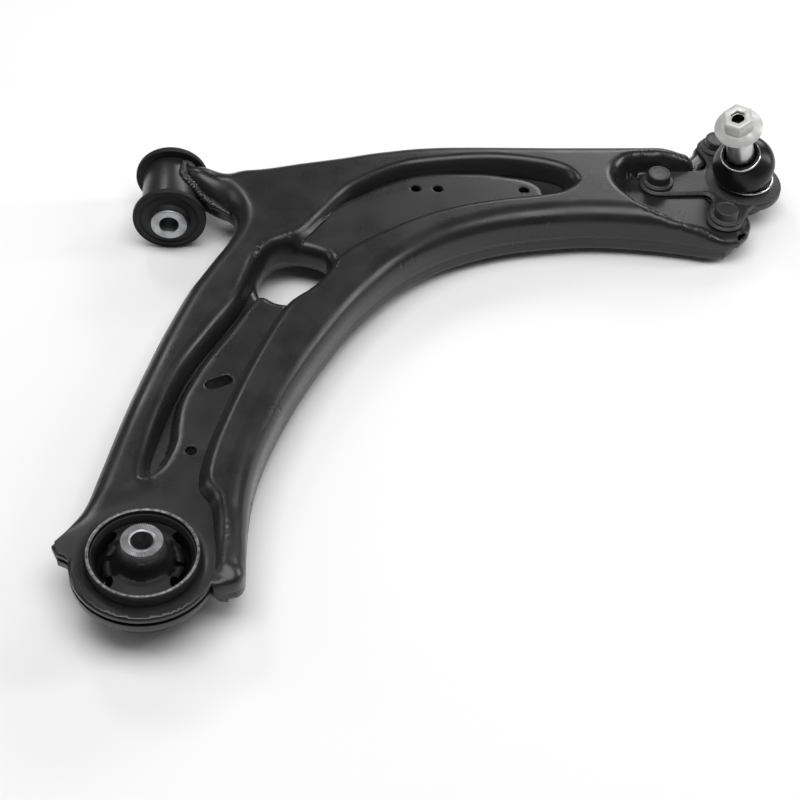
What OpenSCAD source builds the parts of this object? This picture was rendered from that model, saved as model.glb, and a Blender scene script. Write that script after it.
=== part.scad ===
// Front lower control arm: a two-shell stamped steel arm with a rear bush on a
// vertical axis, a front bush on a horizontal axis and a bolted ball joint.
// Origin: middle of the rear bush's bore. +Z up, +Y towards the front bush,
// +X outwards to the ball joint. Millimetres.

/* [Pressed shells] */
// Thickness of the upper sheet
upper_t = 3.2; // [2.5:0.1:3.2]
// Thickness of the lower sheet
lower_t = 3; // [2.5:0.1:3]
// Height of the ridge crown above the bush centre line
crown_z = 14; // [12:0.5:16]
// Height of the recessed panel and of the plate round the rear bush
panel_z = 7; // [6:0.5:8]
// Height of the floor of the ball joint pocket
pocket_z = -2; // [-4:0.5:-1]
// Height of the lowest edge of the side walls
wall_z = -16; // [-20:0.5:-14]
// Height of the seam where the lower shell's wall ends
seam_z = 5; // [4:0.5:7]
// Width of the lower shell's inward flange
flange_w = 9; // [7:0.5:9]

/* [Rear bush] */
// Outer radius of the steel can
can_r = 30.25; // [30:0.05:31]
// Height of the can
can_h = 34; // [32:1:38]
// Wall of the can
can_t = 2; // [1.5:0.1:2.5]
// Radius of the plate that surrounds the bush
ring_r = 39.5; // [38:0.5:41]
// Outer radius of the inner sleeve
rear_sleeve_r = 11.2; // [10.5:0.1:12]
// Length of the inner sleeve
rear_sleeve_l = 53.6; // [50:0.2:58]
// Radius of the bolt holes in both inner sleeves
bolt_hole_r = 6.15; // [6:0.05:6.5]

/* [Front bush] */
// Distance from the rear bush axis to the middle of the front bush
front_y = 308; // [300:1:316]
// Outer radius of the tube that is welded to the arm
tube_r = 18.5; // [18:0.1:19]
// Length of the welded tube
tube_l = 37; // [35:0.5:38]
// Radius of the rubber end discs
disc_r = 23.5; // [22:0.1:24]
// Thickness of each rubber end disc
disc_t = 4; // [3:0.5:5]
// Outer radius of the inner sleeve
front_sleeve_r = 11.5; // [11:0.1:12]
// Length of the inner sleeve
front_sleeve_l = 55; // [52:0.5:58]

/* [Ball joint] */
// Distance from the rear bush axis to the ball centre, along X
ball_x = 380; // [378:0.5:382]
// Distance from the rear bush axis to the ball centre, along Y
ball_y = 330; // [328:0.5:332]
// Radius of the ball
ball_r = 12; // [11.5:0.1:12.2]
// Thickness of the three-lobed plate
plate_t = 6; // [5:0.5:7]
// Lean of the stud towards -Y, in degrees
lean_y = 17; // [0:1:20]
// Lean of the stud towards -X, in degrees
lean_x = 15.5; // [0:0.5:20]
// Distance along the stud from the ball centre to the nut's flange
nut_at = 62; // [60:0.5:66]
// Width of the nut's hexagon across its flats
nut_af = 18; // [17:1:19]

/* [Hidden] */
$fn = 64;
over = 1;
fit = 0.05;
steps = 3;
painted = "#1c1d1f";
rubber = "#151515";
steel = "#b9bcc0";

// A smooth curve through a list of points, with n chords between two points.
function knot(p, i) = p[max(0, min(len(p) - 1, i))];
function curve_at(a, b, c, d, t) =
    0.5 * (2 * b + (c - a) * t + (2 * a - 5 * b + 4 * c - d) * t * t
    + (3 * b - a - 3 * c + d) * t * t * t);
function spline(p, n = steps) = concat(
    [for (i = [0 : len(p) - 2], k = [0 : n - 1])
        curve_at(knot(p, i - 1), p[i], p[i + 1], knot(p, i + 2), k / n)],
    [p[len(p) - 1]]);
// The same for a closed loop.
function ring_knot(p, i) = p[(i + len(p)) % len(p)];
function loop(p, n = steps) =
    [for (i = [0 : len(p) - 1], k = [0 : n - 1])
        curve_at(ring_knot(p, i - 1), p[i], ring_knot(p, i + 1),
            ring_knot(p, i + 2), k / n)];
// Points of an arc about c, from angle a to angle b.
function arc(c, r, a, b, n) =
    [for (i = [0 : n]) c + r * [cos(a + (b - a) * i / n), sin(a + (b - a) * i / n)]];
// An open path moved to its left by d; the arm lies left of its own edges.
function left_of(v) = [-v[1], v[0]] / norm(v);
function shift_path(p, d) =
    [for (i = [0 : len(p) - 1]) p[i] + d * left_of(knot(p, i + 1) - knot(p, i - 1))];
function shift_loop(p, d) =
    [for (i = [0 : len(p) - 1])
        p[i] + d * left_of(ring_knot(p, i + 1) - ring_knot(p, i - 1))];
function backwards(p) = [for (i = [len(p) - 1 : -1 : 0]) p[i]];
function part_of(p, a, b) = [for (i = [a : b]) p[i]];

// Plan of the arm: its three walled edges, anticlockwise.
right_edge = spline([[45, -15], [50.5, -12.5], [53.5, -6], [54, 6], [54, 20],
    [55.5, 46], [60, 72], [69, 101], [85, 140], [108, 183], [128, 212],
    [151, 237], [180, 257], [216, 271], [257, 278], [285, 279], [315, 276.5],
    [337, 273], [350, 270.5], [361, 271]]);
far_edge = spline([[354, 369], [350, 360], [340, 354], [320, 353], [257, 351],
    [177, 349], [137, 343], [110, 336], [84, 330], [58, 323.5], [37, 322],
    [22, 325], [8, 326]]);
left_edge = spline([[8, 311], [20, 302], [31, 294], [39, 289], [43.5, 281],
    [43.5, 268], [38, 252], [30, 236], [22, 220], [14, 203], [1, 166], [-10, 129],
    [-19, 97], [-28, 62], [-36, 33], [-50, 14]]);
ball_xy = [ball_x, ball_y];
// The outer end: two lobes with a hollow between them for the ball joint.
end_edge = concat([[367, 275], [374, 283], [377, 291], [375, 298]],
    arc(ball_xy, 31, 246, 112, 8),
    [[377, 361], [380, 367], [378, 374], [371, 378], [362, 377]]);
tab = [[-46, 4], [-42, 2]];
rear_edge = arc([0, 0], ring_r, 180, 338, 16);
outline = concat(right_edge, end_edge, far_edge, left_edge, tab, rear_edge);
inner_outline = concat(shift_path(right_edge, lower_t), end_edge,
    shift_path(far_edge, lower_t), shift_path(left_edge, lower_t), tab, rear_edge);

// The long recess, from the rear bush plate round the corner to the front leg.
recess = concat([[70, -80], [43, -20]],
    spline([[43, -14], [43.5, 14], [41, 38], [34, 52], [36, 72], [43, 98],
        [53, 129], [66, 163], [79, 191], [90, 205], [103, 224], [118, 243],
        [141, 260], [164, 274], [188, 284], [215, 291], [238, 295], [254, 300],
        [264, 308], [266, 316], [258, 327], [238, 334], [207, 337], [167, 332],
        [143, 324], [113, 304], [93, 277], [84, 264], [75, 255], [61, 247],
        [53, 237], [48, 220], [41, 198], [26, 170], [11, 140], [0, 105],
        [-6, 78], [-8, 56]]),
    [[-34, 44], [-75, 30], [-75, -80]]);
recess_wall = shift_loop(recess, -upper_t);
// The pocket for the ball joint plate, open at the outer end.
pocket = concat([[400, 258]],
    [[362, 268]],
    backwards(spline([[286, 318], [288, 309], [294, 299], [304, 289],
        [322, 281], [345, 277]])),
    spline([[286, 322], [290, 333], [303, 340.5], [325, 343], [343, 344]]),
    [[346, 384], [400, 400]]);
pocket_wall = shift_loop(pocket, upper_t);
// The big hole between the legs.
big_hole = loop([[54, 225], [57, 210], [66, 200], [78, 197.5], [88, 203],
    [98, 214], [105, 229], [103, 244], [94, 251], [82, 254], [69, 251], [60, 243]]);
big_hole_wall = shift_loop(big_hole, -upper_t);
collar_z = -7;
can_collar_z = -10;

// Walls of the welded tube and of the bush sleeve pressed into it.
tube_t = 2.3;
outer_sleeve_bore = tube_r - tube_t - 1.2;

// Small holes: position and radius; the first two are one pair.
panel_holes = [[159, 309, 3.5], [173.4, 309, 3.5], [230, 309, 3.5], [22, 78, 3.5]];
slot_at = [36, 131.5];
slot_w = 8;
slot_l = 17;
slot_turn = 25;

// Ball joint, measured from the ball centre.
ball_z = 4;
ball_at = [ball_x, ball_y, ball_z];
lobes = [[322, 327], [362, 292], [367, 365]];
lobe_r = 12;
plate_disc_r = 26;
// The ball's housing: its outer radius, its ends and where its ball seat ends.
neck_r = 17;
cup_z = -12;
neck_z = 12;
seat_z = ball_z + 5;
mouth_r = 14;
liner_t = 2;
liner_z = cup_z + 4;
cover_t = 2;
boot_foot_r = 18.2;
boot_r = 20;
stud_neck_r = 6;
shoulder_r = 9;
tip_r = 7.4;
thread_r = 6;
bolt_r = 5;
bolt_hole = 5.2;
head_r = 7.7;
head_h = 6.4;
washer_r = 10.5;
washer_t = 1.6;

// How far a cutter reaches past what it cuts.
through = 20;
// The two places where the lower sheet lies flat under the upper one.
rear_window = [[-80, -60], [160, 118]];
tip_window = [[300, 250], [120, 150]];

module slab(points, z0, z1) {
    translate([0, 0, z0]) linear_extrude(z1 - z0) polygon(points);
}

// A wall of even thickness along a path, from d0 to d1 on its left.
module wall(path, d0, d1, z0, z1) {
    slab(concat(shift_path(path, d0), backwards(shift_path(path, d1))), z0, z1);
}

module walls(d0, d1, z0, z1) {
    wall(right_edge, d0, d1, z0, z1);
    wall(far_edge, d0, d1, z0, z1);
    wall(left_edge, d0, d1, z0, z1);
}

module rod_y(r, y0, y1) {
    translate([0, y1, 0]) rotate([90, 0, 0]) cylinder(r = r, h = y1 - y0);
}

// Turns a piece built on +Z at the ball centre to lie along the leaning stud.
module on_stud() {
    translate(ball_at) rotate([lean_y, 0, 0]) rotate([0, -lean_x, 0]) children();
}

// On the upright axis through the ball centre, at height z.
module over_ball(z) {
    translate([ball_x, ball_y, z]) children();
}

module at_lobes(z) {
    for (p = lobes) translate([p[0], p[1], z]) children();
}

module sheet_holes() {
    for (h = panel_holes)
        translate([h[0], h[1], panel_z - through / 2]) cylinder(r = h[2], h = through);
    translate([slot_at[0], slot_at[1], panel_z - through / 2])
        rotate([0, 0, slot_turn]) {
            translate([-(slot_l - slot_w) / 2, -slot_w / 2, 0])
                cube([slot_l - slot_w, slot_w, through]);
            for (s = [-1, 1])
                translate([s * (slot_l - slot_w) / 2, 0, 0])
                    cylinder(d = slot_w, h = through);
        }
}

// A block over one of the windows, between two heights.
module window(w, z0, z1) {
    translate([w[0][0], w[0][1], z0]) cube([w[1][0], w[1][1], z1 - z0]);
}

module upper_shell() {
    plate_z = panel_z - upper_t;
    wall_end_z = plate_z - 10;
    color(painted) difference() {
        union() {
            difference() {
                slab(inner_outline, crown_z - upper_t, crown_z);
                slab(recess, -over, crown_z + over);
            }
            intersection() {
                slab(inner_outline, plate_z, panel_z);
                slab(recess, plate_z - over, panel_z + over);
            }
            intersection() {
                slab(inner_outline, plate_z, crown_z);
                difference() {
                    slab(recess_wall, plate_z, crown_z);
                    slab(recess, 0, crown_z + over);
                }
            }
            intersection() {
                slab(inner_outline, pocket_z - upper_t, crown_z);
                difference() {
                    slab(pocket_wall, pocket_z - upper_t, crown_z);
                    slab(pocket, pocket_z, crown_z + over);
                }
            }
            walls(lower_t, lower_t + upper_t, wall_end_z, crown_z);
            difference() {
                slab(big_hole_wall, collar_z, crown_z);
                slab(recess, panel_z, crown_z + over);
            }
            translate([0, 0, can_collar_z])
                cylinder(r = can_r + upper_t, h = panel_z - can_collar_z);
        }
        slab(pocket, pocket_z, crown_z + over);
        slab(big_hole, collar_z - over, crown_z + over);
        translate([0, 0, can_collar_z - over])
            cylinder(r = can_r, h = crown_z - can_collar_z + 2 * over);
        rod_y(tube_r, front_y - tube_l, front_y + tube_l);
        sheet_holes();
        at_lobes(pocket_z - upper_t - over) cylinder(r = bolt_hole, h = through);
        difference() {
            window(rear_window, wall_z, plate_z);
            translate([0, 0, wall_z - over])
                cylinder(r = can_r + upper_t, h = 2 * crown_z - wall_z);
        }
        window(tip_window, wall_z, pocket_z - upper_t);
    }
}

module lower_shell() {
    plate_z = panel_z - upper_t;
    under_z = pocket_z - upper_t;
    color(painted) difference() {
        union() {
            walls(0, lower_t, wall_z, seam_z);
            for (run = [part_of(right_edge, 9, 50), part_of(far_edge, 8, 36), left_edge])
                wall(run, over, lower_t + flange_w, wall_z, wall_z + lower_t);
            intersection() {
                slab(outline, plate_z - lower_t, plate_z);
                window(rear_window, plate_z - lower_t, plate_z);
            }
            intersection() {
                slab(outline, under_z - lower_t, under_z);
                window(tip_window, under_z - lower_t, under_z);
            }
        }
        slab(pocket, under_z, crown_z);
        translate([0, 0, wall_z])
            cylinder(r = can_r + upper_t, h = crown_z - wall_z);
        rod_y(tube_r, front_y - tube_l, front_y + tube_l);
        translate([0, 0, -can_h]) sheet_holes();
        at_lobes(under_z - lower_t - over) cylinder(r = bolt_hole, h = through);
    }
}

// A short weld on an edge, from its point a over the next n points.
module stitch(edge, a, n) {
    bead_h = 1.8;
    wall(part_of(edge, a, a + n), 0, lower_t, seam_z, seam_z + bead_h);
}

// Stitch welds on the lower shell's rim, against the upper shell's wall.
module shell_weld_bead() {
    color(painted) {
        for (a = [9, 24, 33, 42]) stitch(right_edge, a, 3);
        for (a = [14, 20, 29]) stitch(far_edge, a, 2);
        for (a = [27, 33]) stitch(left_edge, a, 2);
    }
}

module front_bush_tube() {
    color(painted) difference() {
        rod_y(tube_r, front_y - tube_l / 2, front_y + tube_l / 2);
        rod_y(tube_r - tube_t, front_y - tube_l, front_y + tube_l);
    }
}

// Fillet weld round the neck, where the shells meet the tube.
module tube_weld_bead() {
    left_leg = 3;
    far_leg = 1;
    color(painted) difference() {
        union() {
            wall(part_of(left_edge, 1, 7), -left_leg, 0, -4, seam_z);
            wall(part_of(far_edge, 31, 33), -far_leg, 0, -4, seam_z);
        }
        rod_y(tube_r, front_y - tube_l, front_y + tube_l);
    }
}

module front_outer_sleeve() {
    color(painted) difference() {
        rod_y(tube_r - tube_t, front_y - tube_l / 2, front_y + tube_l / 2);
        rod_y(outer_sleeve_bore, front_y - tube_l, front_y + tube_l);
    }
}

module front_bush_rubber() {
    half = tube_l / 2;
    color(rubber) difference() {
        union() {
            rod_y(outer_sleeve_bore, front_y - half, front_y + half);
            rod_y(disc_r, front_y - half - disc_t, front_y - half);
            rod_y(disc_r, front_y + half, front_y + half + disc_t);
        }
        rod_y(front_sleeve_r + fit, front_y - tube_l, front_y + tube_l);
    }
}

module front_inner_sleeve() {
    half = front_sleeve_l / 2;
    color(steel) difference() {
        rod_y(front_sleeve_r, front_y - half, front_y + half);
        rod_y(bolt_hole_r, front_y - half - over, front_y + half + over);
    }
}

module rear_bush_can() {
    color(painted) translate([0, 0, -can_h / 2]) difference() {
        cylinder(r = can_r, h = can_h);
        translate([0, 0, -over]) cylinder(r = can_r - can_t, h = can_h + 2 * over);
    }
}

// Rubber lining, a core round the sleeve and two arms along Y between them.
module rear_bush_rubber() {
    lining_r = can_r - can_t;
    lining_t = 2;
    core_r = 17;
    arm_w = 26;
    end_gap = 2;
    h = can_h - 2 * end_gap;
    color(rubber) translate([0, 0, -h / 2]) difference() {
        union() {
            difference() {
                cylinder(r = lining_r, h = h);
                translate([0, 0, -over]) cylinder(r = lining_r - lining_t, h = can_h);
            }
            cylinder(r = core_r, h = h);
            intersection() {
                translate([-arm_w / 2, -lining_r, 0]) cube([arm_w, 2 * lining_r, h]);
                cylinder(r = lining_r - lining_t / 2, h = h);
            }
        }
        translate([0, 0, -over])
            cylinder(r = rear_sleeve_r + fit, h = can_h);
    }
}

module rear_inner_sleeve() {
    color(steel) translate([0, 0, -rear_sleeve_l / 2]) difference() {
        cylinder(r = rear_sleeve_r, h = rear_sleeve_l);
        translate([0, 0, -over])
            cylinder(r = bolt_hole_r, h = rear_sleeve_l + 2 * over);
    }
}

// Forged plate with three lobes and the ball's housing in one piece.
module ball_joint_plate() {
    web_r = 14;
    lip_r = ball_r - 0.3;
    color(painted) difference() {
        union() {
            over_ball(pocket_z) cylinder(r = plate_disc_r, h = plate_t);
            for (p = lobes) hull() {
                translate([p[0], p[1], pocket_z])
                    cylinder(r = lobe_r, h = plate_t, $fn = 32);
                over_ball(pocket_z) cylinder(r = web_r, h = plate_t, $fn = 32);
            }
            over_ball(cup_z) cylinder(r = neck_r, h = neck_z - cup_z);
        }
        over_ball(cup_z - over) cylinder(r = ball_r + liner_t, h = seat_z - cup_z + over);
        over_ball(seat_z - 0.01) cylinder(r1 = lip_r, r2 = mouth_r, h = neck_z - seat_z + 0.02);
        at_lobes(pocket_z - over) cylinder(r = bolt_hole, h = plate_t + 2 * over);
    }
}

// Plastic cup between the ball and its housing.
module bearing_liner() {
    color("ivory") difference() {
        over_ball(liner_z) cylinder(r = ball_r + liner_t, h = seat_z - liner_z);
        translate(ball_at) sphere(r = ball_r + fit);
    }
}

module preload_ring() {
    color(rubber) over_ball(cup_z + cover_t) difference() {
        cylinder(r = ball_r + 1.5, h = liner_z - cup_z - cover_t);
        translate([0, 0, -over]) cylinder(r = ball_r - 3, h = liner_z - cup_z);
    }
}

module housing_cover() {
    color(painted) over_ball(cup_z) cylinder(r = ball_r + liner_t, h = cover_t);
}

module joint_ball() {
    color(steel) translate(ball_at) sphere(r = ball_r);
}

// Neck, shoulder, taper and thread; the foot hugs the ball with a small gap.
module ball_stud() {
    color(steel) on_stud() difference() {
        rotate_extrude() polygon([[0, 8], [stud_neck_r, 8], [stud_neck_r, 17],
            [shoulder_r, 21], [shoulder_r, 33.5], [tip_r, nut_at - 0.5],
            [thread_r, nut_at], [thread_r, nut_at + 13.5], [5.2, nut_at + 14.3],
            [0, nut_at + 14.3]]);
        sphere(r = ball_r + fit);
        translate([0, 0, nut_at + 9]) cylinder(r = 3.5, h = 8, $fn = 6);
    }
}

// Rubber boot from the housing's neck to the stud's shoulder.
module boot() {
    color(rubber) difference() {
        union() {
            over_ball(5.6) cylinder(r = boot_foot_r, h = 5);
            hull() {
                over_ball(10) cylinder(r = boot_foot_r, h = 0.6, $fn = 32);
                over_ball(13) cylinder(r = boot_r, h = 5, $fn = 32);
                on_stud() translate([0, 0, 26]) cylinder(r = 12.5, h = 2, $fn = 32);
            }
            on_stud() translate([0, 0, 24]) cylinder(r = 11.4, h = 9.5, $fn = 32);
        }
        hull() {
            over_ball(neck_z - 1) cylinder(r = 17, h = 6, $fn = 32);
            on_stud() translate([0, 0, 24.5]) cylinder(r = 10, h = 1, $fn = 32);
        }
        over_ball(cup_z) cylinder(r = neck_r, h = neck_z - cup_z);
        on_stud() cylinder(r = shoulder_r + fit, h = 40);
    }
}

module wire_ring(r, wire) {
    rotate_extrude() translate([r, 0]) circle(r = wire, $fn = 24);
}

module lower_boot_clip() {
    wire = 0.8;
    color(steel) over_ball(8) wire_ring(boot_foot_r + wire + 0.1, wire);
}

module upper_boot_clip() {
    color(steel) on_stud() translate([0, 0, 31]) wire_ring(12.25, 0.75);
}

module flange_nut() {
    flange_r = 15;
    color(steel) on_stud() translate([0, 0, nut_at]) difference() {
        union() {
            cylinder(r = flange_r, h = 1.6);
            translate([0, 0, 1.6]) cylinder(r1 = flange_r, r2 = 11, h = 2);
            translate([0, 0, 3.6]) cylinder(d = nut_af / cos(30), h = 8, $fn = 6);
        }
        translate([0, 0, -over]) cylinder(r = thread_r + fit, h = through);
    }
}

module plate_bolts() {
    length = plate_t + upper_t + lower_t + 10;
    color(painted) at_lobes(pocket_z + plate_t) {
        translate([0, 0, -length]) cylinder(r = bolt_r, h = length);
        cylinder(r = washer_r, h = washer_t);
        translate([0, 0, washer_t]) cylinder(r = head_r, h = head_h);
    }
}

module plate_nuts() {
    under = pocket_z - upper_t - lower_t;
    nut_flats = 15;
    color(painted) at_lobes(under - head_h - washer_t) difference() {
        union() {
            translate([0, 0, head_h]) cylinder(r = washer_r, h = washer_t);
            cylinder(d = nut_flats / cos(30), h = head_h, $fn = 6);
        }
        translate([0, 0, -over]) cylinder(r = bolt_r + fit, h = through);
    }
}

upper_shell();
lower_shell();
shell_weld_bead();
front_bush_tube();
tube_weld_bead();
front_outer_sleeve();
front_bush_rubber();
front_inner_sleeve();
rear_bush_can();
rear_bush_rubber();
rear_inner_sleeve();
ball_joint_plate();
bearing_liner();
preload_ring();
housing_cover();
joint_ball();
ball_stud();
boot();
lower_boot_clip();
upper_boot_clip();
flange_nut();
plate_bolts();
plate_nuts();
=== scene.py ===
# Front lower control arm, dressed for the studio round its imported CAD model.
import math

import bpy
import numpy as np
from mathutils import Matrix, Vector, geometry


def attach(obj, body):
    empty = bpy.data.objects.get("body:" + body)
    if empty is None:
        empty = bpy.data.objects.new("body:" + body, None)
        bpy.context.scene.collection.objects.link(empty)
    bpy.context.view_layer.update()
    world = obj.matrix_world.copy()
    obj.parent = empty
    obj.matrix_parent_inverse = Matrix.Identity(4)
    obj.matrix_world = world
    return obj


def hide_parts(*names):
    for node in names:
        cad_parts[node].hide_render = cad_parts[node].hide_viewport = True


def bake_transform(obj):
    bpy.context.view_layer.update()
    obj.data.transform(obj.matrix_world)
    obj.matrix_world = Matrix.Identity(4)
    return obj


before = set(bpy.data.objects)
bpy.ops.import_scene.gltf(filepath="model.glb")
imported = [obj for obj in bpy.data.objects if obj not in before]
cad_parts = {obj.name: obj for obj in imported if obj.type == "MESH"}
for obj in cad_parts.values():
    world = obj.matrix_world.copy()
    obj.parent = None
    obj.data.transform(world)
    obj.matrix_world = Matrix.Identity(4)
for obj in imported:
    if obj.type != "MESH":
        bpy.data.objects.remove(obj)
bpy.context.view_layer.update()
bpy.ops.object.select_all(action="DESELECT")

# ---------------------------------------------------------------- studio
# A long lens looks down on the arm from its rear, nearly along +Y. The arm
# lies on a pale floor on its rear sleeve, its front bush and a plate bolt.
MM = 0.001
CAMERA_AT = Vector((69.9, -605.1, 770.8)) * MM
CAMERA_YAW = math.radians(-5.61)
CAMERA_PITCH = math.radians(46.3)
CAMERA_ROLL = math.radians(4.57)
SENSOR = 36.0
LENS = 81.75

camera_data = bpy.data.cameras.new("camera")
camera_data.lens = LENS
camera_data.sensor_width = SENSOR
camera = bpy.data.objects.new("camera", camera_data)
bpy.context.scene.collection.objects.link(camera)
camera.matrix_world = (
    Matrix.Translation(CAMERA_AT)
    @ Matrix.Rotation(CAMERA_YAW, 4, "Z")
    @ Matrix.Rotation(math.pi / 2 - CAMERA_PITCH, 4, "X")
    @ Matrix.Rotation(CAMERA_ROLL, 4, "Z")
)
bpy.context.scene.camera = camera
bpy.context.scene.view_settings.view_transform = "Standard"


def soft_light(name, place, aim, size, power):
    """A square area light at place that faces aim; sizes in metres, power in watts."""
    data = bpy.data.lights.new(name, "AREA")
    data.shape = "RECTANGLE"
    data.size, data.size_y = size
    data.energy = power
    light = bpy.data.objects.new(name, data)
    bpy.context.scene.collection.objects.link(light)
    place, aim = Vector(place), Vector(aim)
    light.matrix_world = Matrix.Translation(place) @ (
        (place - aim).to_track_quat("Z", "Y").to_matrix().to_4x4()
    )


MIDDLE = (0.18, 0.18, 0.0)
soft_light("overhead_softbox", (0.1, -0.1, 2.0), MIDDLE, (2.2, 1.2), 37)
soft_light("right_softbox", (1.9, 0.45, 0.95), MIDDLE, (0.3, 1.1), 10)
soft_light("left_softbox", (-1.7, 0.6, 0.9), MIDDLE, (0.5, 1.2), 4)
soft_light("back_left_softbox", (-0.7, 1.9, 1.7), MIDDLE, (0.5, 0.5), 7)
soft_light("back_softbox", (1.05, 2.1, 1.1), MIDDLE, (1.4, 0.5), 14)

world = bpy.data.worlds.new("studio")
world.use_nodes = True
world.node_tree.nodes["Background"].inputs["Color"].default_value = (1, 1, 1, 1)
world.node_tree.nodes["Background"].inputs["Strength"].default_value = 0.10
bpy.context.scene.world = world

# The three places that touch the floor: rear sleeve, front bush and a bolt's end.
rest_points = [Vector(p) * MM for p in ((0, 0, -27.0), (0, 308, -23.7), (362, 292, -18.5))]
floor_normal = (rest_points[1] - rest_points[0]).cross(rest_points[2] - rest_points[0])
floor_normal = -floor_normal.normalized() if floor_normal.z < 0 else floor_normal.normalized()
bpy.ops.mesh.primitive_plane_add(size=12)
floor = bpy.context.object
floor.name = "floor"
floor.matrix_world = Matrix.Translation(rest_points[0]) @ (
    floor_normal.to_track_quat("Z", "Y").to_matrix().to_4x4()
)
floor_paint = bpy.data.materials.new("floor_paint")
floor_paint.use_nodes = True
floor_shader = floor_paint.node_tree.nodes["Principled BSDF"]
floor_shader.inputs["Base Color"].default_value = (0.9, 0.9, 0.9, 1)
floor_shader.inputs["Roughness"].default_value = 0.9
floor.data.materials.append(floor_paint)

# ----------------------------------------------------------- upper shell
# The upper pressing: 3.2 mm steel drawn into two ridges with a long recess
# between them, a raised panel and a groove in it, a pocket at the outer end
# for the ball joint, and collars round the rear bush and the big hole.
UPPER_SHEET = 3.2
CROWN = 14.0
PANEL = 7.0
GROOVE = 0.8
POCKET = -2.0
LOWER_SHEET = 3.0
WALL_BOTTOM = -16.0
CAN_R = 30.25
RING_R = 39.5
BALL = Vector((380.0, 330.0, 4.0))
CURVE_STEPS = 64


def cubic(a, b, c, d, t):
    """A point on the smooth curve from b to c."""
    return 0.5 * (
        2 * b
        + (c - a) * t
        + (2 * a - 5 * b + 4 * c - d) * t**2
        + (3 * b - a - 3 * c + d) * t**3
    )


def curve_through(points, step=1.6, closed=False):
    """A smooth curve through the points, cut into even chords of about step millimetres."""
    p = np.array(points, float)
    n = len(p)
    count = n if closed else n - 1
    pick = (lambda i: p[i % n]) if closed else (lambda i: p[max(0, min(n - 1, i))])
    dense = [
        cubic(pick(i - 1), pick(i), pick(i + 1), pick(i + 2), k / CURVE_STEPS)
        for i in range(count)
        for k in range(CURVE_STEPS)
    ]
    dense.append(pick(count))
    return even(np.array(dense), step)


def even(path, step=1.6):
    """The same path with its points an even step apart; both ends stay."""
    lengths = np.r_[0, np.cumsum(np.hypot(*np.diff(path, axis=0).T))]
    count = max(1, int(round(lengths[-1] / step)))
    at = np.linspace(0, lengths[-1], count + 1)
    return np.c_[np.interp(at, lengths, path[:, 0]), np.interp(at, lengths, path[:, 1])]


def arc(centre, radius, start, end, step=1.6):
    """Points of an arc, with its angles in degrees."""
    count = max(2, int(abs(math.radians(end - start)) * radius / step))
    angles = np.radians(np.linspace(start, end, count + 1))
    return np.array(centre) + radius * np.c_[np.cos(angles), np.sin(angles)]


def shifted(path, by):
    """An open path moved to its left."""
    along = np.gradient(path, axis=0)
    along /= np.hypot(*along.T)[:, None]
    return path + by * np.c_[-along[:, 1], along[:, 0]]


def joined(*paths):
    """One path from several, without the points that two of them share."""
    out = [paths[0]]
    for path in paths[1:]:
        if np.hypot(*(path[0] - out[-1][-1])) < 0.4:
            path = path[1:]
        out.append(path)
    whole = np.vstack(out)
    if np.hypot(*(whole[0] - whole[-1])) < 0.4:
        whole = whole[:-1]
    return whole


right_edge = curve_through([(45, -15), (50.5, -12.5), (53.5, -6), (54, 6), (54, 20),
    (55.5, 46), (60, 72), (69, 101), (85, 140), (108, 183), (128, 212), (151, 237),
    (180, 257), (216, 271), (257, 278), (285, 279), (315, 276.5), (337, 273),
    (350, 270.5), (361, 271)])
far_edge = curve_through([(354, 369), (350, 360), (340, 354), (320, 353), (257, 351),
    (177, 349), (137, 343), (110, 336), (84, 330), (58, 323.5), (37, 322), (22, 325),
    (8, 326)])
left_edge = curve_through([(8, 311), (20, 302), (31, 294), (39, 289), (43.5, 281),
    (43.5, 268), (38, 252), (30, 236), (22, 220), (14, 203), (1, 166), (-10, 129),
    (-19, 97), (-28, 62), (-36, 33), (-50, 14)])
outer_end = joined(
    even(np.array([(367, 275), (374, 283), (377, 291), (375, 298)], float)),
    arc((BALL.x, BALL.y), 31, 246, 112),
    even(np.array([(377, 361), (380, 367), (378, 374), (371, 378), (362, 377)], float)),
)
rear_ring = joined(
    even(np.array([(-46, 4), (-42, 2)], float)), arc((0, 0), RING_R, 180, 338)
)
recess = joined(
    np.array([(70, -80), (43, -20)], float),
    curve_through([(43, -14), (43.5, 14), (41, 38), (34, 52), (36, 72), (43, 98),
        (53, 129), (66, 163), (79, 191), (90, 205), (103, 224), (118, 243), (141, 260),
        (164, 274), (188, 284), (215, 291), (238, 295), (254, 300), (264, 308),
        (266, 316), (258, 327), (238, 334), (207, 337), (167, 332), (143, 324),
        (113, 304), (93, 277), (84, 264), (75, 255), (61, 247), (53, 237), (48, 220),
        (41, 198), (26, 170), (11, 140), (0, 105), (-6, 78), (-8, 56)], 1.2),
    np.array([(-34, 44), (-75, 30), (-75, -80)], float),
)
rear_panel = joined(
    np.array([(60, -80), (60, 45)], float),
    curve_through([(70, 130), (98, 195), (82, 205), (60, 206), (40, 171), (26, 145),
        (15.5, 118), (13, 99), (12.5, 86), (9, 73), (4, 64), (-5, 58)], 1.2),
    np.array([(-75, 50), (-75, -80)], float),
)
front_panel = curve_through([(100, 225), (150, 240), (220, 272), (262, 290),
    (245, 301), (241, 313), (233, 320), (218, 323.5), (201, 326), (167, 324.5),
    (143, 315.5), (119, 299.5), (101, 284.5), (87, 267), (79, 252.5)], 1.2, closed=True)
pocket = joined(
    np.array([(400, 258), (362, 268)], float),
    curve_through([(345, 277), (322, 281), (304, 289), (294, 299), (288, 309),
        (286, 318), (287, 326), (292, 334), (303, 340.5), (325, 343), (343, 344)], 1.2),
    np.array([(346, 384), (400, 400)], float),
)
big_hole = curve_through([(54, 225), (57, 210), (66, 200), (78, 197.5), (88, 203),
    (98, 214), (105, 229), (103, 244), (94, 251), (82, 254), (69, 251), (60, 243)],
    closed=True)[:-1]
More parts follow.
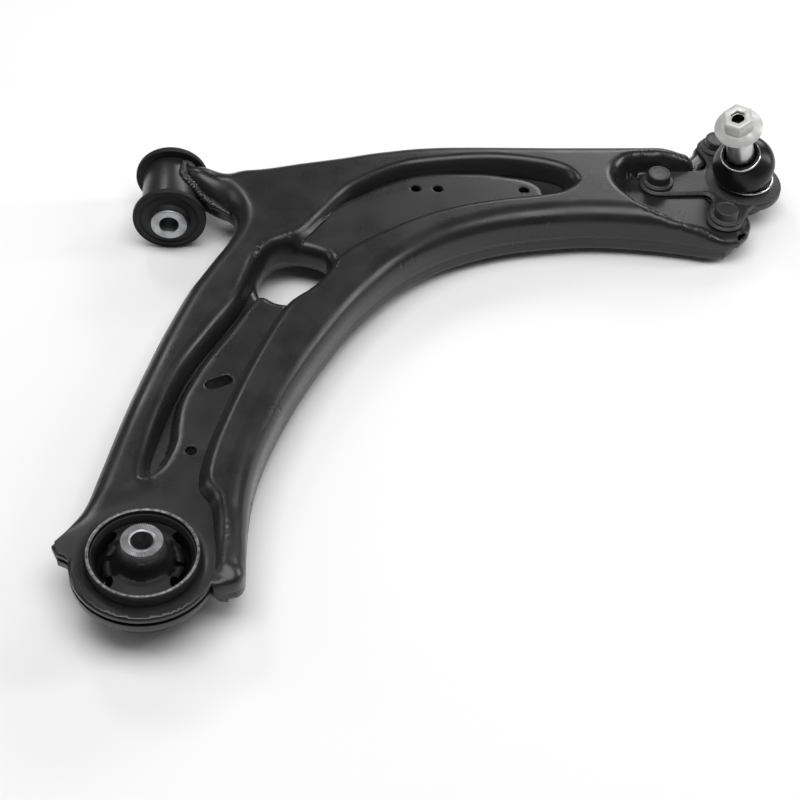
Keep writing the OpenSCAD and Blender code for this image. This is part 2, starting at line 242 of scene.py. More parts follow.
slot_turn = math.radians(25)
slot_ends = [(36 + s * 4.5 * math.cos(slot_turn), 131.5 + s * 4.5 * math.sin(slot_turn))
    for s in (-1, 1)]
slot_hole = joined(arc(slot_ends[1], 4, -65, 115, 0.8), arc(slot_ends[0], 4, 115, 295, 0.8))
PANEL_HOLES = ((159, 309), (173.4, 309), (230, 309), (22, 78))
panel_holes = [arc(c, 3.5, 0, 360, 0.8)[:-1] for c in PANEL_HOLES]


def distance_to(points, path, closed=False):
    """How far each point is from a path."""
    ends = np.vstack((path[1:], path[:1])) if closed else path[1:]
    best = np.full(len(points), np.inf)
    for a, b in zip(path, ends):
        along = b - a
        square = along @ along
        if square == 0:
            continue
        t = np.clip((points - a) @ along / square, 0, 1)
        gap = points - a - t[:, None] * along
        best = np.minimum(best, np.einsum("ij,ij->i", gap, gap))
    return np.sqrt(best)


def is_inside(points, loop):
    """Which points lie inside a closed path."""
    inside = np.zeros(len(points), bool)
    for a, b in zip(loop, np.roll(loop, -1, axis=0)):
        if a[1] == b[1]:
            continue
        crosses = (a[1] > points[:, 1]) != (b[1] > points[:, 1])
        x = a[0] + (points[:, 1] - a[1]) * (b[0] - a[0]) / (b[1] - a[1])
        inside ^= crosses & (points[:, 0] < x)
    return inside


def depth_in(points, loop):
    """Distance to a closed path: positive inside it, negative outside."""
    return np.where(is_inside(points, loop), 1, -1) * distance_to(points, loop, True)


def ease(t):
    """A smooth step from 0 to 1."""
    t = np.clip(t, 0, 1)
    return t * t * (3 - 2 * t)


def sheet_mesh(outline, holes, guides, grid, height):
    """Triangles over an outline with holes. The points follow the guide paths, with a
    staggered grid between them; height gives each point's z."""
    loops = [outline] + holes
    taken = {}
    cell = 1.0
    points = []

    def add(p, gap):
        """Takes a point, unless another lies nearer than the gap."""
        key = (int(p[0] // cell), int(p[1] // cell))
        reach = int(math.ceil(gap / cell))
        for i in range(key[0] - reach, key[0] + reach + 1):
            for j in range(key[1] - reach, key[1] + reach + 1):
                for q in taken.get((i, j), ()):
                    if (q[0] - p[0]) ** 2 + (q[1] - p[1]) ** 2 < gap * gap:
                        return
        taken.setdefault(key, []).append(p)
        points.append(p)

    edges = []
    for loop in loops:
        first = len(points)
        for p in loop:
            taken.setdefault((int(p[0] // cell), int(p[1] // cell)), []).append(tuple(p))
            points.append(tuple(p))
        count = len(loop)
        edges += [(first + i, first + (i + 1) % count) for i in range(count)]
    for path, gap in guides:
        keep = is_inside(path, outline)
        for hole in holes:
            keep &= ~is_inside(path, hole)
        for p in path[keep]:
            add(tuple(p), gap)
    low, high = outline.min(0), outline.max(0)
    rows = np.arange(low[1], high[1], grid * math.sqrt(3) / 2)
    mesh_points = np.array([
        (x + (grid / 2 if r % 2 else 0), y)
        for r, y in enumerate(rows)
        for x in np.arange(low[0], high[0], grid)
    ])
    keep = is_inside(mesh_points, outline)
    for hole in holes:
        keep &= ~is_inside(mesh_points, hole)
    for p in mesh_points[keep]:
        add(tuple(p), grid * 0.72)
    flat = [Vector(p) for p in points]
    done = geometry.delaunay_2d_cdt(flat, edges, [], 0, 1e-5)
    found = np.array([tuple(v) for v in done[0]])
    faces = np.array(done[2])
    centres = found[faces].mean(1)
    keep = is_inside(centres, outline)
    for hole in holes:
        keep &= ~is_inside(centres, hole)
    faces = faces[keep]
    place = {}
    for new, olds in enumerate(done[3]):
        for old in olds:
            place[old] = new
    rims = []
    first = 0
    for loop in loops:
        rims.append([place[first + i] for i in range(len(loop))])
        first += len(loop)
    z = height(found)
    return np.c_[found, z], [tuple(f) for f in faces], rims


def new_piece(name, points, faces, material=None, angle=40):
    """An object from points in millimetres; its edges past an angle stay sharp."""
    data = bpy.data.meshes.new(name)
    data.from_pydata([tuple(Vector(p) * MM) for p in points], [], faces)
    data.update()
    piece = bpy.data.objects.new(name, data)
    bpy.context.scene.collection.objects.link(piece)
    if material:
        data.materials.append(material)
    bpy.ops.object.select_all(action="DESELECT")
    piece.select_set(True)
    bpy.context.view_layer.objects.active = piece
    bpy.ops.object.shade_smooth_by_angle(angle=math.radians(angle))
    return piece


def apply_modifier(piece, kind, **settings):
    """Adds a modifier and applies it at once."""
    bpy.ops.object.select_all(action="DESELECT")
    piece.select_set(True)
    bpy.context.view_layer.objects.active = piece
    modifier = piece.modifiers.new(kind.lower(), kind)
    for key, value in settings.items():
        setattr(modifier, key, value)
    bpy.ops.object.modifier_apply(modifier=modifier.name)
    if kind == "SOLIDIFY":
        bpy.ops.object.shade_smooth_by_angle(angle=math.radians(40))


def face_outwards(piece):
    """Turns every face of a piece to the outside."""
    bpy.ops.object.select_all(action="DESELECT")
    piece.select_set(True)
    bpy.context.view_layer.objects.active = piece
    bpy.ops.object.mode_set(mode="EDIT")
    bpy.ops.mesh.select_all(action="SELECT")
    bpy.ops.mesh.normals_make_consistent(inside=False)
    bpy.ops.object.mode_set(mode="OBJECT")


def noise(nodes, links, coords, scale, detail=3.0, roughness=0.55):
    """A noise texture on the given coordinates."""
    texture = nodes.new("ShaderNodeTexNoise")
    texture.inputs["Scale"].default_value = scale
    texture.inputs["Detail"].default_value = detail
    texture.inputs["Roughness"].default_value = roughness
    links.new(coords, texture.inputs["Vector"])
    return texture.outputs["Fac"]


def remap(nodes, links, value, low, high, out_low=0.0, out_high=1.0):
    """A value's range low to high, spread smoothly over another range."""
    step = nodes.new("ShaderNodeMapRange")
    step.interpolation_type = "SMOOTHSTEP"
    step.inputs["From Min"].default_value = low
    step.inputs["From Max"].default_value = high
    step.inputs["To Min"].default_value = out_low
    step.inputs["To Max"].default_value = out_high
    links.new(value, step.inputs["Value"])
    return step.outputs["Result"]


def mix_colour(nodes, links, mask, first, second):
    """A colour between two, by a mask; each is a colour or a socket."""
    mixer = nodes.new("ShaderNodeMix")
    mixer.data_type = "RGBA"
    links.new(mask, mixer.inputs["Factor"])
    for socket, value in ((mixer.inputs[6], first), (mixer.inputs[7], second)):
        if isinstance(value, tuple):
            socket.default_value = value
        else:
            links.new(value, socket)
    return mixer.outputs[2]


def arithmetic(nodes, links, kind, first, second):
    """One sum on two values; each is a number or a socket."""
    sum_node = nodes.new("ShaderNodeMath")
    sum_node.operation = kind
    for socket, value in zip(sum_node.inputs, (first, second)):
        if isinstance(value, (int, float)):
            socket.default_value = value
        else:
            links.new(value, socket)
    return sum_node.outputs[0]


def effect_group(name, inputs, outputs):
    """An empty node group with named inputs (with their values) and outputs."""
    group = bpy.data.node_groups.new(name, "ShaderNodeTree")
    for label, (kind, value) in inputs.items():
        socket = group.interface.new_socket(name=label, in_out="INPUT", socket_type=kind)
        if value is not None:
            socket.default_value = value
    for label, kind in outputs.items():
        group.interface.new_socket(name=label, in_out="OUTPUT", socket_type=kind)
    return group, group.nodes.new("NodeGroupInput"), group.nodes.new("NodeGroupOutput")


# Dark baked finish: fine orange peel, faint cloudy sheen, and a few light specks.
finish, finish_in, finish_out = effect_group(
    "baked_finish",
    {
        "Vector": ("NodeSocketVector", None),
        "Colour": ("NodeSocketColor", (0.02, 0.02, 0.021, 1)),
        "Dust": ("NodeSocketFloat", 0.5),
        "Gloss": ("NodeSocketFloat", 0.36),
    },
    {"Colour": "NodeSocketColor", "Roughness": "NodeSocketFloat", "Height": "NodeSocketFloat"},
)
nodes, links = finish.nodes, finish.links
at = finish_in.outputs["Vector"]
clouds = noise(nodes, links, at, 38, 4)
fine_peel = noise(nodes, links, at, 900, 2)
specks = remap(nodes, links, noise(nodes, links, at, 620, 2, 0.7), 0.735, 0.79)
patches = remap(nodes, links, noise(nodes, links, at, 55, 3), 0.4, 0.75)
speckled = arithmetic(nodes, links, "MULTIPLY", specks, patches)
speck_mask = arithmetic(nodes, links, "MULTIPLY", speckled, finish_in.outputs["Dust"])
haze = remap(nodes, links, clouds, 0.4, 0.8, 0.0, 0.03)
film = arithmetic(nodes, links, "MULTIPLY", haze, finish_in.outputs["Dust"])
filmed = mix_colour(nodes, links, film, finish_in.outputs["Colour"], (0.16, 0.16, 0.165, 1))
links.new(mix_colour(nodes, links, speck_mask, filmed, (0.32, 0.32, 0.33, 1)),
    finish_out.inputs["Colour"])
uneven = remap(nodes, links, clouds, 0.3, 0.75, -0.04, 0.07)
rough = arithmetic(nodes, links, "ADD", finish_in.outputs["Gloss"], uneven)
links.new(arithmetic(nodes, links, "ADD", rough, arithmetic(nodes, links, "MULTIPLY", speck_mask, 0.08)),
    finish_out.inputs["Roughness"])
links.new(fine_peel, finish_out.inputs["Height"])


def new_material(name, roughness=0.4, metallic=0.0):
    """A material with its nodes, links and main shader."""
    made = bpy.data.materials.new(name)
    made.use_nodes = True
    shader = made.node_tree.nodes["Principled BSDF"]
    shader.inputs["Roughness"].default_value = roughness
    shader.inputs["Metallic"].default_value = metallic
    return made, made.node_tree.nodes, made.node_tree.links, shader


def place_group(nodes, links, group, **values):
    """Places a node group on the piece's own coordinates."""
    node = nodes.new("ShaderNodeGroup")
    node.node_tree = group
    coords = nodes.new("ShaderNodeTexCoord")
    links.new(coords.outputs["Object"], node.inputs["Vector"])
    for label, value in values.items():
        node.inputs[label].default_value = value
    return node


def bump(nodes, links, shader, height, distance, strength=1.0):
    """Bump on the shader from a height, in metres."""
    node = nodes.new("ShaderNodeBump")
    node.inputs["Distance"].default_value = distance
    node.inputs["Strength"].default_value = strength
    links.new(height, node.inputs["Height"])
    links.new(node.outputs["Normal"], shader.inputs["Normal"])


def baked_paint(name, colour, gloss, dust, peel):
    """Black baked paint over steel."""
    made, nodes, links, shader = new_material(name)
    coat = place_group(nodes, links, finish, Colour=colour, Dust=dust, Gloss=gloss)
    links.new(coat.outputs["Colour"], shader.inputs["Base Color"])
    links.new(coat.outputs["Roughness"], shader.inputs["Roughness"])
    bump(nodes, links, shader, coat.outputs["Height"], peel)
    return made


pressing_paint = baked_paint("pressing_paint", (0.012, 0.012, 0.013, 1), 0.30, 0.5, 0.00004)


inner_right = shifted(right_edge, LOWER_SHEET)
inner_far = shifted(far_edge, LOWER_SHEET)
inner_left = shifted(left_edge, LOWER_SHEET)
upper_outline = joined(inner_right, outer_end, inner_far, inner_left, rear_ring)


def crown_drop(depth, tall, wide):
    """How far the crown falls over its rounded outer edge."""
    t = np.clip(1 - depth / wide, 0, 1)
    return tall * (1 - np.sqrt(1 - t * t))


def upper_height(p):
    """Height of the upper shell's top face."""
    x, y = p.T
    ends = ease((x - 322) / 40)
    left_end = ease((125 - y) / 85) * ease((24 - x) / 24)
    right_end = ease((34 - y) / 34) * ease((x - 24) / 14)
    neck = ease((y - 274) / 14) * ease((50 - x) / 14)
    crown = CROWN - 13 * ends - 6 * left_end - 4 * right_end - 2.5 * ease((-3 - y) / 10)
    crown = crown + 7.5 * ease((34 - x) / 26) * ease((y - 280) / 14)
    into = depth_in(p, recess)
    width = 6.5 + 9 * ease((70 - y) / 30) * ease((20 - x) / 20)
    floor_z = GROOVE + (PANEL - GROOVE) * np.maximum(
        ease((depth_in(p, rear_panel) + 1.2) / 3.8),
        ease((depth_in(p, front_panel) + 1.2) / 3.8),
    )
    z = crown + (floor_z - crown) * ease((into + 1.0) / width)
    pocket_width = 7 + 8 * ease((304 - x) / 16)
    z = z + (POCKET - z) * ease((depth_in(p, pocket) + 1.5) / pocket_width)
    share = np.clip((z - POCKET + 1.2) / (CROWN - POCKET + 1.2), 0.05, 1.6)
    z = z - crown_drop(distance_to(p, inner_right), 8, 10) * share * ease((y + 18) / 20)
    z = z - crown_drop(distance_to(p, inner_far), 7 + 5 * neck, 7 + 6 * neck) * share
    drop = 7 + 7 * neck
    z = z - crown_drop(distance_to(p, inner_left), drop, drop + 0.5) * share * np.where(
        y < 60, ease((y - 14) / 40), 1)
    z = z - crown_drop(np.hypot(x, y) - CAN_R, 4.2, 4.2)
    return z - crown_drop(-depth_in(p, big_hole), 3, 3.2)


rounding = (0.12, 0.5, 1.1, 1.9, 2.9, 4.1, 5.5, 7.0)
guides = []
for path in (inner_right, inner_far, inner_left):
    guides += [(shifted(path, d), 0.45 if d < 1 else 0.8) for d in rounding]
guides += [(arc((0, 0), CAN_R + d, 0, 360), 0.4) for d in (0.15, 0.6, 1.3, 2.2, 3.2, 4.4)]
closed_hole = np.vstack((big_hole, big_hole[:1]))
guides += [(shifted(closed_hole, -d), 0.4) for d in (0.15, 0.6, 1.3, 2.2, 3.3)]
WALL_ROWS = (-2.2, -1.4, -0.6, 0.2, 1.0, 1.8, 2.6, 3.4, 4.2, 5.0, 5.8, 6.6)
for hole in [slot_hole] + panel_holes:
    closed = np.vstack((hole, hole[:1]))
    guides += [(shifted(closed, -d), 0.5) for d in (0.5, 1.2, 2.1)]
guides += [(shifted(even(recess, 1.3), d), 0.7) for d in WALL_ROWS]
guides += [(shifted(even(pocket, 1.4), d), 0.75) for d in WALL_ROWS]
PANEL_ROWS = (-1.8, -1.0, -0.2, 0.6, 1.4, 2.2, 3.0)
for path in (rear_panel, front_panel):
    guides += [(shifted(even(path, 1.3), d), 0.7) for d in PANEL_ROWS]

can_hole = arc((0, 0), CAN_R, 0, 360)[:-1]
points, faces, rims = sheet_mesh(
    upper_outline, [can_hole, big_hole, slot_hole] + panel_holes, guides, 1.9, upper_height
)


def add_skirt(points, faces, rim, bottoms, rows, keep):
    """Walls that hang from a rim down to each rim point's bottom."""
    points = list(map(tuple, points))
    columns = []
    for index, bottom in zip(rim, bottoms):
        x, y, z = points[index]
        column = [index]
        for r in range(1, rows + 1):
            column.append(len(points))
            points.append((x, y, z + (bottom - z) * r / rows))
        columns.append(column)
    count = len(rim)
    for i in range(count):
        j = (i + 1) % count
        if not (keep[i] and keep[j]):
            continue
        for r in range(rows):
            faces.append((columns[i][r], columns[i][r + 1], columns[j][r + 1], columns[j][r]))
    used = sorted({i for f in faces for i in f})
    renumber = {old: new for new, old in enumerate(used)}
    return [points[i] for i in used], [tuple(renumber[i] for i in f) for f in faces], renumber


def wall_bottoms(outline_points):
    """Where the upper shell's side wall ends, and along which rim points it hangs."""
    near = np.minimum(
        distance_to(outline_points, inner_right),
        np.minimum(distance_to(outline_points, inner_far), distance_to(outline_points, inner_left)),
    )
    x, y = outline_points.T
    has_wall = (near < 0.3) & ((y > 60) | (x > 30)) & (x < 359) & (y > -13)
    has_wall |= (x > 36.5) & (y < -10)
    has_wall |= (x > 355) & (y < 299)
    bottom = np.where(y < 50, 0.5, -5.0)
    return has_wall, bottom


has_wall, bottoms = wall_bottoms(upper_outline)
points, faces, renumber = add_skirt(points, faces, rims[0], bottoms, 4, has_wall)
rim = [renumber[i] for i in rims[1]]
points, faces, renumber2 = add_skirt(points, faces, rim, np.full(len(rim), -10.0), 3,
    np.ones(len(rim), bool))
rim = [renumber2[renumber[i]] for i in rims[2]]
points, faces, _ = add_skirt(points, faces, rim, np.full(len(rim), -7.0), 3,
    np.ones(len(rim), bool))
upper_shell = new_piece("upper_shell_pressing", points, faces, pressing_paint)
face_outwards(upper_shell)
apply_modifier(upper_shell, "SOLIDIFY", thickness=UPPER_SHEET * MM, offset=-1)
# The top takes its normals from the height itself, so the sheen runs smooth along the
# ridges. The rows beside a rounded rim keep the mesh's own.
sheet = upper_shell.data
places = np.array([v.co for v in sheet.vertices]) / MM
tops = np.array([v.normal.z > 0.05 for v in sheet.vertices])
tops[tops] = np.abs(places[tops, 2] - upper_height(places[tops, :2])) < 0.02
for rim in (inner_right, inner_far, inner_left, can_hole, big_hole):
    tops[tops] = distance_to(places[tops, :2], rim) > 1.0
REACH = 0.5  # millimetres to each side over which the slope is taken
at = places[tops, :2]
slope_x = upper_height(at + (REACH, 0)) - upper_height(at - (REACH, 0))
slope_y = upper_height(at + (0, REACH)) - upper_height(at - (0, REACH))
smooth = np.zeros((len(places), 3))
smooth[tops] = np.c_[-slope_x, -slope_y, np.full(len(at), 2 * REACH)]
smooth[tops] /= np.linalg.norm(smooth[tops], axis=1)[:, None]
sheet.normals_split_custom_set_from_vertices([tuple(v) for v in smooth])
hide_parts("upper_shell")
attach(upper_shell, "arm")


# ----------------------------------------------------------- lower shell
# The lower pressing: a 3 mm steel tray whose walls stand outside the upper
# shell's and turn in below as a flange. It lies flat under the upper sheet
# round the rear bush and at the outer end.
WALL_TOP = 5.6
TURN_R = 5.0
FLANGE = 13.0


def tray_section(lean, bottom=WALL_BOTTOM, top=WALL_TOP):
    """Offsets and heights of the tray's outer face, from its rim to the flange."""
    radius = min(TURN_R, (top - bottom) * 0.45)
    turn = [
        (radius * (1 - math.cos(a)), bottom + radius * (1 - math.sin(a)))
        for a in np.radians(np.linspace(0, 90, 7))
    ]
    side = [(lean * t, top + (bottom + radius - top) * (1 - t)) for t in (1, 0.66, 0.33)]
    return side + turn + [(FLANGE - 3.5, bottom), (FLANGE, bottom)]


def rising(t, at_end, over):
    """The tray's bottom where it rises towards one end of an edge."""
    return at_end + (WALL_BOTTOM - at_end) * float(ease(t / over))


def swept_wall(path, section_at):
    """A strip that follows a path, with a section for each of its points."""
    along = np.gradient(path, axis=0)
    along /= np.hypot(*along.T)[:, None]
    inward = np.c_[-along[:, 1], along[:, 0]]
    points, faces = [], []
    rows = len(section_at(0.0, path[0][0]))
    for i, (p, side) in enumerate(zip(path, inward)):
        for offset, z in section_at(i / (len(path) - 1), p[0]):
            points.append((p[0] + side[0] * offset, p[1] + side[1] * offset, z))
        if i:
            first = (i - 1) * rows
            for r in range(rows - 1):
                a, b = first + r, first + r + 1
                faces.append((a, b, b + rows, a + rows))
    return points, faces


def merged(parts):
    """Several lists of points and faces as one."""
    points, faces = [], []
    for part_points, part_faces in parts:
        first = len(points)
        points += [tuple(p) for p in part_points]
        faces += [tuple(first + i for i in f) for f in part_faces]
    return points, faces


def rim_height(x):
    """The tray's rim, which sinks with the ridge towards the ball joint."""
    return WALL_TOP - 9.6 * float(ease((x - 312) / 44))


tray = []
tray.append(swept_wall(right_edge, lambda t, x: tray_section(2.0,
    rising(t, -8.0, 0.05), rim_height(x))))
tray.append(swept_wall(far_edge, lambda t, x: tray_section(2.0,
    rising(1 - t, -5.0, 0.14), rim_height(x))))
tray.append(swept_wall(left_edge, lambda t, x: tray_section(2.0,
    max(rising(1 - t, 0.5, 0.16), rising(t, -3.0, 0.3)))))
# Round the rear ring the tray turns down as a low lip, which closes the ridge's end too.
ring_path = joined(rear_ring, even(np.array([rear_ring[-1], (45, -15)])))
LIP_END = 6.8


def lip_section(t, x):
    """The lip's outer face; it hangs lower past the ring, at the ridge's end."""
    lower = LIP_END * float(ease((t - 0.92) / 0.05))
    return [(0, 4.4), (0, 1.6), (0.4, -0.4 - lower), (1.4, -1.2 - lower)]


tray.append(swept_wall(ring_path, lip_section))
tip_path = even(np.array([(361, 271), (367, 275), (374, 283), (377, 291)], float))
tray.append(swept_wall(tip_path, lambda t, x: [(0, -4.4), (0, -6),
    (0.2, -9 + 1.5 * t), (1.5, -15.2 + 7 * t)]))


def flat_sheet(outline, holes, z):
    """A level sheet with holes, as points and faces."""
    points, faces, _ = sheet_mesh(outline, holes, [], 6.0, lambda p: np.full(len(p), z))
    return points, faces


rear_plate = joined(shifted(rear_ring, 0.8), right_edge[right_edge[:, 1] < 44],
    left_edge[left_edge[:, 1] < 46])
tray.append(flat_sheet(rear_plate, [arc((0, 0), CAN_R + UPPER_SHEET, 0, 360)[:-1]],
    PANEL - UPPER_SHEET - 0.05))
tip_plate = joined(right_edge[right_edge[:, 0] > 300], outer_end, far_edge[far_edge[:, 0] > 300])
tray.append(flat_sheet(tip_plate, [], POCKET - UPPER_SHEET - 0.05))
points, faces = merged(tray)
lower_shell = new_piece("lower_shell_pressing", points, faces, pressing_paint)
apply_modifier(lower_shell, "SOLIDIFY", thickness=LOWER_SHEET * MM, offset=-1)
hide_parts("lower_shell")
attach(lower_shell, "arm")


# ------------------------------------------------------------ shell welds
# Short stitch welds on the lower shell's rim join it to the upper shell. Each
# is a gas-shielded arc bead with a rippled, slightly lumpy skin, painted over.
def rippled_bead(path, radius, seed, ripple=1.5, squash=0.75):
    """A closed bead along a path: its rings swell and sink as a weld's do."""
    random = np.random.default_rng(seed)
    path = np.array(path, float)
    lengths = np.r_[0, np.cumsum(np.linalg.norm(np.diff(path, axis=0), axis=1))]
    count = max(6, int(lengths[-1] / 0.5))
    at = np.linspace(0, lengths[-1], count + 1)
    centres = np.c_[[np.interp(at, lengths, path[:, k]) for k in range(3)]].T
    along = np.gradient(centres, axis=0)
    along /= np.linalg.norm(along, axis=1)[:, None]
    sides = 14
    points, faces = [], []
    lumps = np.convolve(random.normal(0, 1, count + 9), np.ones(9) / 9, "valid")
    for i, (centre, ahead) in enumerate(zip(centres, along)):
        across = np.cross(ahead, (0, 0, 1))
        across /= np.linalg.norm(across)
        upward = np.cross(across, ahead)
        end = math.sqrt(max(0.02, 1 - (2 * i / count - 1) ** 8))
        wave = 1 + 0.10 * math.sin(2 * math.pi * at[i] / ripple) + 0.35 * lumps[i]
        for k in range(sides):
            turn = 2 * math.pi * k / sides
            grain = 1 + 0.05 * random.normal()
            r = radius * end * wave * grain
            points.append(centre + r * (across * math.cos(turn) * 1.15
                + upward * math.sin(turn) * squash))
        if i:
            a, b = (i - 1) * sides, i * sides
            for k in range(sides):
                m = (k + 1) % sides
                faces.append((a + k, a + m, b + m, b + k))
    last = count * sides
    faces.append(tuple(reversed(range(sides))))
    faces.append(tuple(range(last, last + sides)))
    return points, faces


STITCHES = ((right_edge, (0.19, 0.42, 0.60, 0.79)), (far_edge, (0.36, 0.52, 0.76)),
    (left_edge, (0.62, 0.76)))
STITCH_LENGTH = 14.0
weld_paint = baked_paint("weld_paint", (0.016, 0.016, 0.017, 1), 0.27, 0.8, 0.00008)
beads = []
for edge, places in STITCHES:
    for place_on in places:
        first = int(place_on * len(edge))
        run = shifted(edge, 2.6)[first : first + int(STITCH_LENGTH / 1.6)]
        beads.append(rippled_bead(np.c_[run, np.full(len(run), WALL_TOP - 0.2)], 1.5, first))
shell_welds = new_piece("shell_stitch_welds", *merged(beads), weld_paint, 60)
face_outwards(shell_welds)
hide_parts("shell_weld_bead")
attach(shell_welds, "arm")

# ------------------------------------------------------- front bush's tube
# A cut length of drawn tube, rolled and seam welded, that takes the front
# bush. The two shells are notched to fit it and welded on.
def turned(name, profile, material, steps=96, sweep=360.0, start=0.0, bevel=0.4, angle=30):
    """A round piece: a closed profile of (radius, height) in millimetres, spun about Z."""
    bpy.ops.object.select_all(action="DESELECT")
    bpy.ops.mesh.primitive_plane_add(size=MM)
    piece = bpy.context.object
    piece.name = piece.data.name = name
    bpy.ops.object.mode_set(mode="EDIT")
    bpy.ops.mesh.select_all(action="SELECT")
    bpy.ops.mesh.merge(type="CENTER")
    turn = math.radians(start)
    corner = [Vector((r * math.cos(turn), r * math.sin(turn), z)) * MM for r, z in profile]
    bpy.ops.transform.translate(value=corner[0])
    whole = abs(sweep) >= 360
    open_ended = profile[0][0] == 0 and profile[-1][0] == 0
    path = corner if open_ended else corner + corner[:1]
    for before, after in zip(path, path[1:]):
        bpy.ops.mesh.extrude_region_move(TRANSFORM_OT_translate={"value": after - before})
    bpy.ops.mesh.select_all(action="SELECT")
    bpy.ops.mesh.remove_doubles(threshold=1e-6)
    if not whole:
        bpy.ops.mesh.edge_face_add()
    bpy.ops.mesh.select_all(action="SELECT")
    bpy.ops.mesh.spin(steps=steps, angle=math.radians(sweep), center=(0, 0, 0), axis=(0, 0, 1))
    bpy.ops.mesh.select_all(action="SELECT")
    bpy.ops.mesh.remove_doubles(threshold=1e-6)
    bpy.ops.mesh.normals_make_consistent(inside=False)
    bpy.ops.object.mode_set(mode="OBJECT")
    piece.data.materials.append(material)
    if bevel:
        apply_modifier(piece, "BEVEL", width=bevel * MM, segments=3, limit_method="ANGLE",
            angle_limit=math.radians(angle))
    bpy.ops.object.shade_smooth_by_angle(angle=math.radians(35))
    return piece


def placed(piece, matrix):
    """Moves a piece's mesh, and leaves the object at the origin."""
    piece.data.transform(matrix)
    piece.data.update()
    return piece


def dressed(piece, body, slot, *nodes):
    """A finished piece: the body that it rides on and the nodes it stands for. Its slot is not used."""
    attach(piece, body)
    if nodes:
        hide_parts(*nodes)


FRONT = Matrix.Translation(Vector((0, 308, 0)) * MM) @ Matrix.Rotation(math.radians(90), 4, "X")
TUBE_R = 18.5
TUBE_BORE = 16.2
HALF_TUBE = 18.5
SLEEVE_BORE = 6.15
FRONT_SLEEVE_R = 11.5
HALF_FRONT_SLEEVE = 27.5
tube_paint = baked_paint("tube_paint", (0.014, 0.014, 0.015, 1), 0.30, 0.3, 0.00003)
tube = placed(turned("front_bush_tube_drawn", [(TUBE_BORE, -HALF_TUBE), (TUBE_R, -HALF_TUBE),
    (TUBE_R, HALF_TUBE), (TUBE_BORE, HALF_TUBE)], tube_paint), FRONT)
dressed(tube, "arm", "painted_steel", "front_bush_tube")

# ------------------------------------------------------- tube's fillet weld
# A hand-laid fillet runs down the notch where the shells meet the tube, and a
# shorter one lies on its far side. It is coarse, with spatter beside it.
crest = [(8, 310, 17.2), (12, 307, 15.2), (16, 304.5, 11.6), (19.5, 302.3, 8), (24, 299, 6),
    (29, 295.4, 5), (34, 291.9, 4), (39, 288.6, 3)]
far_crest = [(8.6, 324.5, 17.0), (13, 323.6, 14.0), (17.5, 323.5, 8.6), (22, 324.5, 4.5)]
across_crest = [(8.2, 309, 17.4), (8.0, 314, 17.6), (8.2, 320, 17.5), (9.0, 324.5, 17.0)]
beads = [rippled_bead(crest, 2.9, 5, 2.1), rippled_bead(far_crest, 2.0, 6, 2.0),
    rippled_bead(across_crest, 1.8, 8, 2.2)]
tube_weld = new_piece("tube_fillet_weld", *merged(beads), weld_paint, 60)
face_outwards(tube_weld)
dressed(tube_weld, "arm", "painted_steel", "tube_weld_bead")

# ----------------------------------------------------------- front bush
# Rubber bonded between a pressed-in outer sleeve and a machined inner sleeve.
# Its end discs stand out past the tube as stops, with moulded grooves.
def black_rubber(name, colour, gloss, bloom):
    """Moulded rubber with a fine skin and a faint dusty bloom."""
    made, nodes, links, shader = new_material(name)
    coat = place_group(nodes, links, finish, Colour=colour, Dust=bloom, Gloss=gloss)
    links.new(coat.outputs["Colour"], shader.inputs["Base Color"])
    links.new(coat.outputs["Roughness"], shader.inputs["Roughness"])
    shader.inputs["Specular IOR Level"].default_value = 0.3
    bump(nodes, links, shader, coat.outputs["Height"], 0.00006)
    return made


bush_rubber = black_rubber("bush_rubber", (0.006, 0.006, 0.006, 1), 0.55, 0.25)
disc = [(11.6, 26.6), (12.3, 26.3), (12.7, 24.4), (13.4, 23.1), (15.2, 22.6), (17.4, 22.5),
    (17.9, 21.9), (18.7, 21.9), (19.2, 22.5), (21.9, 22.3), (22.6, 22.9), (23.2, 22.7),
    (23.5, 21.6), (23.5, 19.4), (22.9, 18.6), (19.2, 18.6), (15.0, 18.5)]
profile = disc + [(r, -h) for r, h in reversed(disc)]
front_rubber = placed(turned("front_bush_rubber_moulded", profile, bush_rubber, bevel=0.2,
    angle=20), FRONT)
dressed(front_rubber, "arm", "bush_rubber", "front_bush_rubber")


def bare_steel(name, colour, roughness, tint, turned_lines=0.0):
    """Bare or plated steel with faint stains and, if asked, fine turned lines."""
    made, nodes, links, shader = new_material(name, roughness, 1.0)
    coords = nodes.new("ShaderNodeTexCoord")
    stain = remap(nodes, links, noise(nodes, links, coords.outputs["Object"], 160, 5), 0.35, 0.75)
    grain = noise(nodes, links, coords.outputs["Object"], 2200, 2)
    links.new(mix_colour(nodes, links, stain, colour, tint), shader.inputs["Base Color"])
    links.new(remap(nodes, links, stain, 0, 1, roughness - 0.06, roughness + 0.10),
        shader.inputs["Roughness"])
    bump(nodes, links, shader, grain, 0.00002 + turned_lines)
    return made


sleeve_steel = bare_steel("machined_sleeve", (0.46, 0.47, 0.48, 1), 0.42, (0.33, 0.33, 0.34, 1))
front_sleeve = placed(turned("front_bush_inner_sleeve_machined",
    [(SLEEVE_BORE, -HALF_FRONT_SLEEVE), (FRONT_SLEEVE_R, -HALF_FRONT_SLEEVE),
    (FRONT_SLEEVE_R, HALF_FRONT_SLEEVE), (SLEEVE_BORE, HALF_FRONT_SLEEVE)],
    sleeve_steel, bevel=0.6), FRONT)
dressed(front_sleeve, "front_inner", "sleeve_steel", "front_inner_sleeve")

